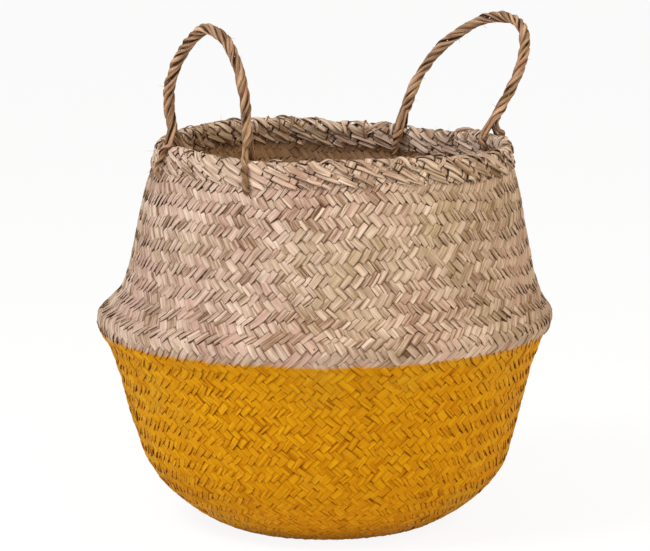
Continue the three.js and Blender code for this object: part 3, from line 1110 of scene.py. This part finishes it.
def loose_hairs(plait, starts, ways, pick, reach):
    """Lays thin tapering fibres that stand off from the strips and curl."""
    share = np.linspace(0, 1, HAIR_POINTS)[:, None]
    for start, way in zip(starts, ways):
        length = reach * (HAIR_SHORTEST + (1 - HAIR_SHORTEST) * pick.random())
        curl = HAIR_CURL * length * pick.standard_normal(3)
        centre = start + way * length * share + curl * share**2
        line = strip_line(centre, np.tile(np.cross(way, HAIR_SKEW), (HAIR_POINTS, 1)), 0.0)
        thick = HAIR_HALF * (1 - HAIR_TAPER * share[:, 0])
        plait.lay(line, thick, thick, pick.random(), pick.random(), 0.0, HAIR_SECTION, HAIR_OUTSIDE)


def rim_strip(face, turn, run, rise, roll):
    """The line of a strip that goes over the rim's saddle."""
    centre, out = face.place(turn, run)
    return strip_line(centre + out * rise[:, None], out, roll)


class BASKET_OT_braid_rim(bpy.types.Operator):
    """Braid the border over the rim from long slanting strips and short steep ones"""

    bl_idname = "basket.braid_rim"
    bl_label = "Braid rim"

    def execute(self, context):
        sizes = context.scene.basket_rim
        material = material_once("Folded seagrass border", BORDER_LOOK)
        face = rim_face()
        meet = RIM_RADIUS / (1 / math.tan(sizes.long_slope) + 1 / math.tan(sizes.short_slope))
        families = (
            ("long", sizes.long_count, sizes.short_count, sizes.long_slope, sizes.cover, 1),
            ("short", sizes.short_count, sizes.long_count, sizes.short_slope, sizes.short_cover, -1),
        )
        for kind, count, others, slope, cover, way in families:
            braid = Plait()
            pick = np.random.default_rng(RIM_SEED + way)
            step, other_step = 2 * math.pi / count, 2 * math.pi / others
            travel = -way / math.tan(slope)
            run = np.linspace(0, face.length, int(RIM_RINGS * face.length / (meet * other_step)) + 1)
            middle = 0.5 * face.length
            hem = ease(np.minimum(run, face.length - run), *HEM_EASE)
            top = hump(run, middle, TOP_REACH)
            flare = HEM_FLARE * hump(run, HEM_FLARE_PLACE, HEM_FLARE_REACH)
            tilt = np.cos(math.pi * run / face.length)
            marks = np.linspace(0, face.length, RIM_SHADES)
            half = 0.5 * cover * step * RIM_RADIUS * math.sin(slope)
            for i in range(count):
                waves = pick.uniform(0, 2 * math.pi, 4)
                slant = travel * (1 + RIM_SLANT_UNEVEN * pick.standard_normal())
                reach = travel * middle + slant * (run - middle)
                place = i + ripple(run, waves, *RIM_DRIFT) + RIM_PLACE_UNEVEN * pick.standard_normal()
                turn = place * step + reach / RIM_RADIUS
                turn = turn + sum(size * np.sin(lobes * turn + lobes) for lobes, size in RIM_WANDER)
                index = i + (i * step - way * run / meet) / other_step
                over = 2 * ease(np.abs(np.mod(index + 2, 4) - 2), *RIM_STEP) - 1
                rise = way * over * sizes.lift * (1 + ripple(run, waves[2:], RIM_LIFT_WAVE))
                rise = rise + ripple(run, waves[3:], RIM_RISE_WAVE) * hem
                rise = rise + top * abs(pick.standard_normal()) * sizes.curl
                rise = rise + max(pick.standard_normal(), 0) * flare
                roll = ripple(run, waves[2:], RIM_ROLL_WAVE)
                if way > 0:
                    roll = roll + sizes.tilt * tilt * (1 + RIM_TILT_UNEVEN * pick.standard_normal())
                width = 1 + RIM_WIDTH_UNEVEN * pick.uniform(-1, 1) + ripple(run, waves[1:], RIM_WIDTH_WAVE)
                width = half * width * (HEM_WIDTH + (1 - HEM_WIDTH) * hem)
                shade = 0.5 * pick.random() + 0.5 * np.interp(run, marks, pick.random(RIM_SHADES))
                # The strip's level, by which the material paints shadow where it goes under
                dip = 0.5 - 0.5 * way * over
                line = rim_strip(face, turn, run, rise, roll)
                braid.lay(line, width, sizes.thickness, pick.random(), shade, dip)
            if way < 0:
                self.add_loose(braid, face, pick, sizes.thickness)
            made = braid.piece(f"rim_{kind}_strips", material, "braided_seagrass", FLAT_ANGLE)
            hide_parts("rim_braid")
            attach(made, "basket")
        return {"FINISHED"}

    def add_loose(self, braid, face, pick, thickness):
        """Narrow strips that curl over the top edge, and fibres that stand off from it."""
        for _ in range(LOOSE_STRIPS):
            middle = face.length * pick.uniform(*LOOSE_PLACE)
            reach = pick.uniform(*LOOSE_REACH)
            run = np.linspace(middle - reach, middle + reach, LOOSE_POINTS)
            turn = 2 * math.pi * pick.random() + pick.normal(0, LOOSE_SLANT) * (run - middle) / RIM_RADIUS
            bow = 1 - ((run - middle) / reach) ** 2
            rise = LOOSE_RISE + bow * pick.uniform(*LOOSE_BOW)
            width = pick.uniform(*LOOSE_WIDTH) * (LOOSE_TIP + (1 - LOOSE_TIP) * bow)
            line = rim_strip(face, turn, run, rise, LOOSE_ROLL * pick.standard_normal())
            braid.lay(line, width, thickness, pick.random(), pick.random())
        for _ in range(RIM_HAIRS):
            run = np.full(2, face.length * pick.choice(RIM_HAIR_PLACES))
            turn = 2 * math.pi * pick.random() + np.array(RIM_HAIR_TURN)
            centre, _across, out = rim_strip(face, turn, run, np.zeros(2), 0.0)
            way = unit(out[0] + RIM_HAIR_SPREAD * pick.standard_normal(3))
            loose_hairs(braid, centre[:1], way[None], pick, RIM_HAIR_REACH)


def even_path(points, step):
    """A smooth path through points, with even steps. Values after the first three of a point come along."""
    points = np.asarray(points)
    padded = np.vstack((2 * points[0] - points[1], points, 2 * points[-1] - points[-2]))
    t = np.linspace(0, 1, PATH_FINE, endpoint=False)[:, None]
    fine = []
    for a, b, c, d in zip(padded, padded[1:], padded[2:], padded[3:]):
        square, cube = 2 * a - 5 * b + 4 * c - d, 3 * b - a - 3 * c + d
        fine.append(0.5 * (2 * b + (c - a) * t + square * t**2 + cube * t**3))
    fine = np.vstack((*fine, points[-1:]))
    run = run_along(fine[:, :3])
    even = np.linspace(0, run[-1], max(int(run[-1] / step), 2))
    return resample(fine, run, even)


def arch_line(shape):
    """Middle line of a handle in its own plane: places from front to back and up from the hinge."""
    half = shape["span"] / 2
    crown = (shape["crown"], shape["rise"])
    sides = []
    for side, way in (("front", -1), ("back", 1)):
        bent = shape[side]
        foot = (way * half, LEG_RISE)
        pull = (
            foot[0] + way * bent["shoulder"] * math.sin(bent["splay"]),
            foot[1] + bent["shoulder"] * math.cos(bent["splay"]),
        )
        sides.append(bend(foot, pull, (crown[0] + way * bent["ease"], crown[1]), crown))
    line = np.vstack(((-half, 0), sides[0], sides[1][-2::-1], (half, 0)))
    run = run_along(line)
    even = np.linspace(0, run[-1], ARCH_POINTS)
    return even, resample(line, run, even)


def rim_point(turn, across, up):
    """A point on the leaning rim at a turn round the basket."""
    place = RIM_MIDDLE + RIM_OUT * across + RIM_UP * up
    return np.array((place[0] * math.cos(turn), place[0] * math.sin(turn), place[1]))


def foot_leg(shape, end, face):
    """Points of a cord's leg from the wall's hole up to the rim's shoulder, outside or inside the rim."""
    spread = math.asin(shape["span"] / 2 / RIM_RADIUS)
    middle = 0.0 if shape["outward"] > 0 else math.pi
    side = end * shape["outward"]
    reach = RIM_HALF + CORD_SEAT
    legs = []
    for share, up, splay in LEG_STOPS:
        turn = middle + side * (spread + splay * FOOT_SPLAY / RIM_RADIUS)
        legs.append(rim_point(turn, face * share * reach, up))
    return legs


def cord_line(shape, hinge, phase, lay):
    """Route of one cord of a handle from wall to wall, with the ways out from the rope and round it."""
    run, line = arch_line(shape)
    tangent = unit(np.gradient(line, axis=0))
    twisted = run[-1] - 2 * CROTCH_RISE
    turns = round(2 * twisted / lay) / 2
    angle = phase + 2 * math.pi * turns * np.clip((run - CROTCH_RISE) / twisted, 0, 1)
    up = np.array((math.sin(shape["lean"]), 0.0, math.cos(shape["lean"])))
    normal = np.array((math.cos(shape["lean"]), 0.0, -math.sin(shape["lean"])))
    front_to_back = np.array((0.0, 1.0, 0.0))
    flat = tangent[:, :1] * up - tangent[:, 1:] * front_to_back
    away = np.cos(angle)[:, None] * flat + np.sin(angle)[:, None] * normal
    round_rope = np.cos(angle)[:, None] * normal - np.sin(angle)[:, None] * flat
    swell = CORD_OFFSET * (1 + CROWN_SWELL * ease(line[:, 1] / shape["rise"], CROWN_FROM, 1))
    points = hinge + line[:, :1] * front_to_back + line[:, 1:] * up + swell[:, None] * away
    keep = (run >= CROTCH_RISE) & (run <= run[-1] - CROTCH_RISE)
    body = np.hstack((points, round_rope))[keep][::BODY_EVERY]
    ends = []
    for end, index in ((-1, 0), (1, -1)):
        face = 1 if math.sin(angle[index]) * shape["outward"] > 0 else -1
        leg = foot_leg(shape, end, face)
        ends.append(np.hstack((leg, np.tile(body[index, 3:], (len(leg), 1)))))
    path = even_path(np.vstack((ends[0], body, ends[1][::-1])), PATH_STEP)
    centre, round_rope = path[:, :3], path[:, 3:]
    tangent = unit(np.gradient(centre, axis=0))
    round_rope = unit(round_rope - tangent * np.sum(round_rope * tangent, axis=1, keepdims=True))
    away = np.cross(round_rope, tangent)
    # The cord keeps its own twist in the legs
    run = run_along(centre)
    legs = [run_along(even_path(end, PATH_STEP)[:, :3])[-1] for end in ends]
    spin = np.maximum(legs[0] - run, 0) + np.maximum(run - run[-1] + legs[1], 0)
    turn = (2 * math.pi * spin / LEG_LAY)[:, None]
    parted = ease(spin, 0.0, PARTED_RUN)
    return centre, *rolled(away, round_rope, turn), parted


class BASKET_OT_twist_handles(bpy.types.Operator):
    """Twist the two cords of each handle and bring their legs down through the wall"""

    bl_idname = "basket.twist_handles"
    bl_label = "Twist handles"

    def execute(self, context):
        sizes = context.scene.basket_rope
        material = material_once("Twisted seagrass rope", ROPE_LOOK)
        for hand, shape in HANDLES.items():
            hinge = np.array(HINGES[f"{hand}_handle_swing"]["pos_m"])
            for cord, phase, loop in (("a", 0.5 * math.pi, "front"), ("b", 1.5 * math.pi, "back")):
                middle, away, round_rope, parted = cord_line(shape, hinge, phase, sizes.lay)
                run = run_along(middle)
                pick = np.random.default_rng(ROPE_SEED + len(hand) + ord(cord))
                rope = Plait()
                slim = 1 - LEG_SLIM * parted
                for turns in CORD_STRANDS[cord]:
                    waves = pick.uniform(0, 2 * math.pi, 5)
                    twisted, loose = np.radians(turns)
                    rise = (1 - parted) * math.cos(twisted) + parted * math.cos(loose)
                    sway = (1 - parted) * math.sin(twisted) + parted * math.sin(loose)
                    depth = (1 - parted) * (STRAND_RING * math.cos(twisted) - CORD_OFFSET)
                    depth = depth + parted * LEG_RING * math.cos(loose)
                    depth = depth + ripple(run, waves[::2], *STRAND_DEPTH)
                    side = (1 - parted) * STRAND_RING * math.sin(twisted)
                    side = side + parted * LEG_RING * math.sin(loose) + ripple(run, waves[1:], STRAND_SIDE)
                    centre = middle + away * depth[:, None] + round_rope * side[:, None]
                    out = unit(away * rise[:, None] + round_rope * sway[:, None])
                    line = strip_line(centre, out, ripple(run, waves[2:], STRAND_ROLL))
                    width = slim * sizes.blade_width * (1 + ripple(run, waves[3:], STRAND_WIDTH))
                    thick = slim * sizes.blade_depth * (1 + ripple(run, waves[4:], STRAND_THICK))
                    marks = MOTTLE_STEP * np.arange(MOTTLE_MARKS)
                    mottle = np.interp(run, marks, pick.random(MOTTLE_MARKS))
                    shade = STRAND_SHADE + SHADE_UNEVEN * pick.random() + MOTTLE_SHARE * (mottle - 0.5)
                    rope.lay(line, width, thick, pick.random(), shade, 0.0, BLADE_SECTION, BLADE_OUTSIDE)
                spots = pick.integers(ROPE_HAIR_ENDS, len(run) - ROPE_HAIR_ENDS, ROPE_HAIRS)
                ways = unit(away[spots] + ROPE_HAIR_SPREAD * pick.standard_normal((ROPE_HAIRS, 3)))
                starts = middle[spots] + ROPE_HAIR_LIFT * away[spots]
                loose_hairs(rope, starts, ways, pick, ROPE_HAIR_REACH)
                made = rope.piece(f"{hand}_handle_rope_cord_{cord}", material, "seagrass_rope", FLAT_ANGLE)
                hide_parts(f"{hand}_handle_cord_{cord}", f"{hand}_handle_{loop}_loop")
                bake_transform(made)
        return {"FINISHED"}


def seen_rays(tree):
    """1 for rays that show the room as the eye sees it, straight or in a reflection."""
    rays = add(tree, "ShaderNodeLightPath", {}).outputs
    seen = rays["Is Camera Ray"]
    for name in ("Is Glossy Ray", "Is Transmission Ray"):
        seen = calc(tree, "MAXIMUM", seen, rays[name])
    return seen


class BASKET_OT_set_stage(bpy.types.Operator):
    """Set the floor, the soft light and the camera"""

    bl_idname = "basket.set_stage"
    bl_label = "Set stage"

    def execute(self, context):
        scene = context.scene
        sizes = scene.basket_stage
        scene.view_settings.view_transform = "Standard"

        camera = bpy.data.objects.new("camera", bpy.data.cameras.new("camera"))
        scene.collection.objects.link(camera)
        camera.data.sensor_width = VIEW_SENSOR
        camera.data.lens = VIEW_LENS
        camera.data.clip_end = VIEW_END
        toward = Vector((math.sin(VIEW_TURN), -math.cos(VIEW_TURN), 0))
        aim = Vector(VIEW_RIGHT) * VIEW_SIDE
        aim.z = VIEW_HEIGHT - VIEW_DISTANCE * math.tan(VIEW_PITCH)
        camera.location = toward * VIEW_DISTANCE + Vector(VIEW_RIGHT) * VIEW_SIDE
        camera.location.z = VIEW_HEIGHT
        camera.rotation_euler = (aim - camera.location).to_track_quat("-Z", "Y").to_euler()
        scene.camera = camera

        # A pale paper sweep: matt, shows as white and keeps the basket's shadow
        paper = blank("Pale paper floor")
        tree = paper.node_tree
        place = add(tree, "ShaderNodeTexCoord", {}).outputs["Object"]
        tooth = noise(tree, place, 1 / FLOOR_TOOTH)
        bump = add(tree, "ShaderNodeBump", {"Height": tooth, "Strength": FLOOR_BUMP}).outputs["Normal"]
        colour = (*sizes.floor_colour, 1.0)
        matt = add(tree, "ShaderNodeBsdfDiffuse", {"Color": colour, "Normal": bump}).outputs["BSDF"]
        glow = add(tree, "ShaderNodeEmission", {"Strength": FLOOR_GLOW}).outputs["Emission"]
        share = calc(tree, "MULTIPLY", seen_rays(tree), FLOOR_GLOW_SHARE)
        mixed = add(tree, "ShaderNodeMixShader", {0: share, 1: matt, 2: glow}).outputs[0]
        add(tree, "ShaderNodeOutputMaterial", {"Surface": mixed})
        mesh = bpy.data.meshes.new("floor")
        corners = [(x * FLOOR_REACH, y * FLOOR_REACH, 0) for x, y in ((-1, -1), (1, -1), (1, 1), (-1, 1))]
        mesh.from_pydata(corners, [], [(0, 1, 2, 3)])
        mesh.materials.append(paper)
        floor = bpy.data.objects.new("floor", mesh)
        scene.collection.objects.link(floor)

        world = bpy.data.worlds.new("Soft white room")
        scene.world = world
        world.use_nodes = True
        tree = world.node_tree
        tree.nodes.clear()
        level = between(tree, seen_rays(tree), sizes.fill, 1.0)
        sky = add(tree, "ShaderNodeBackground", {"Strength": level}).outputs["Background"]
        add(tree, "ShaderNodeOutputWorld", {"Surface": sky})

        for name, (turn, rise, distance, size, power, colour) in LAMPS.items():
            lamp = bpy.data.lights.new(name, "AREA")
            lamp.shape = "DISK"
            lamp.size = size
            lamp.energy = power * sizes.key_power
            lamp.color = linear(colour)[:3]
            made = bpy.data.objects.new(name, lamp)
            scene.collection.objects.link(made)
            turn = VIEW_TURN + math.radians(turn)
            rise = math.radians(rise)
            away = Vector((math.sin(turn) * math.cos(rise), -math.cos(turn) * math.cos(rise), math.sin(rise)))
            made.location = Vector(LAMP_AIM) + away * distance
            made.rotation_euler = (-away).to_track_quat("-Z", "Y").to_euler()
        return {"FINISHED"}


class BASKET_PT_panel(bpy.types.Panel):
    """Settings and steps of the basket"""

    bl_idname = "BASKET_PT_panel"
    bl_label = "Plaited Basket Bag"
    bl_space_type = "VIEW_3D"
    bl_region_type = "UI"
    bl_category = "Basket"

    def draw(self, context):
        for group in ("basket_plait", "basket_rim", "basket_rope", "basket_stage"):
            settings = getattr(context.scene, group)
            for name in settings.__annotations__:
                self.layout.prop(settings, name)
        for step in STEPS:
            self.layout.operator(step.bl_idname)


SETTINGS = (
    ("basket_plait", PlaitSettings),
    ("basket_rim", RimSettings),
    ("basket_rope", RopeSettings),
    ("basket_stage", StageSettings),
)
STEPS = (
    BASKET_OT_set_stage,
    BASKET_OT_plait_base,
    BASKET_OT_plait_walls,
    BASKET_OT_braid_rim,
    BASKET_OT_twist_handles,
)


def register():
    for name, group in SETTINGS:
        bpy.utils.register_class(group)
        setattr(bpy.types.Scene, name, bpy.props.PointerProperty(type=group))
    for step in STEPS:
        bpy.utils.register_class(step)
    bpy.utils.register_class(BASKET_PT_panel)


def unregister():
    bpy.utils.unregister_class(BASKET_PT_panel)
    for step in reversed(STEPS):
        bpy.utils.unregister_class(step)
    for name, group in reversed(SETTINGS):
        delattr(bpy.types.Scene, name)
        bpy.utils.unregister_class(group)


def main():
    register()
    bpy.ops.basket.set_stage()
    bpy.ops.basket.plait_base()
    bpy.ops.basket.plait_walls()
    bpy.ops.basket.braid_rim()
    bpy.ops.basket.twist_handles()


if __name__ == "__main__":
    main()
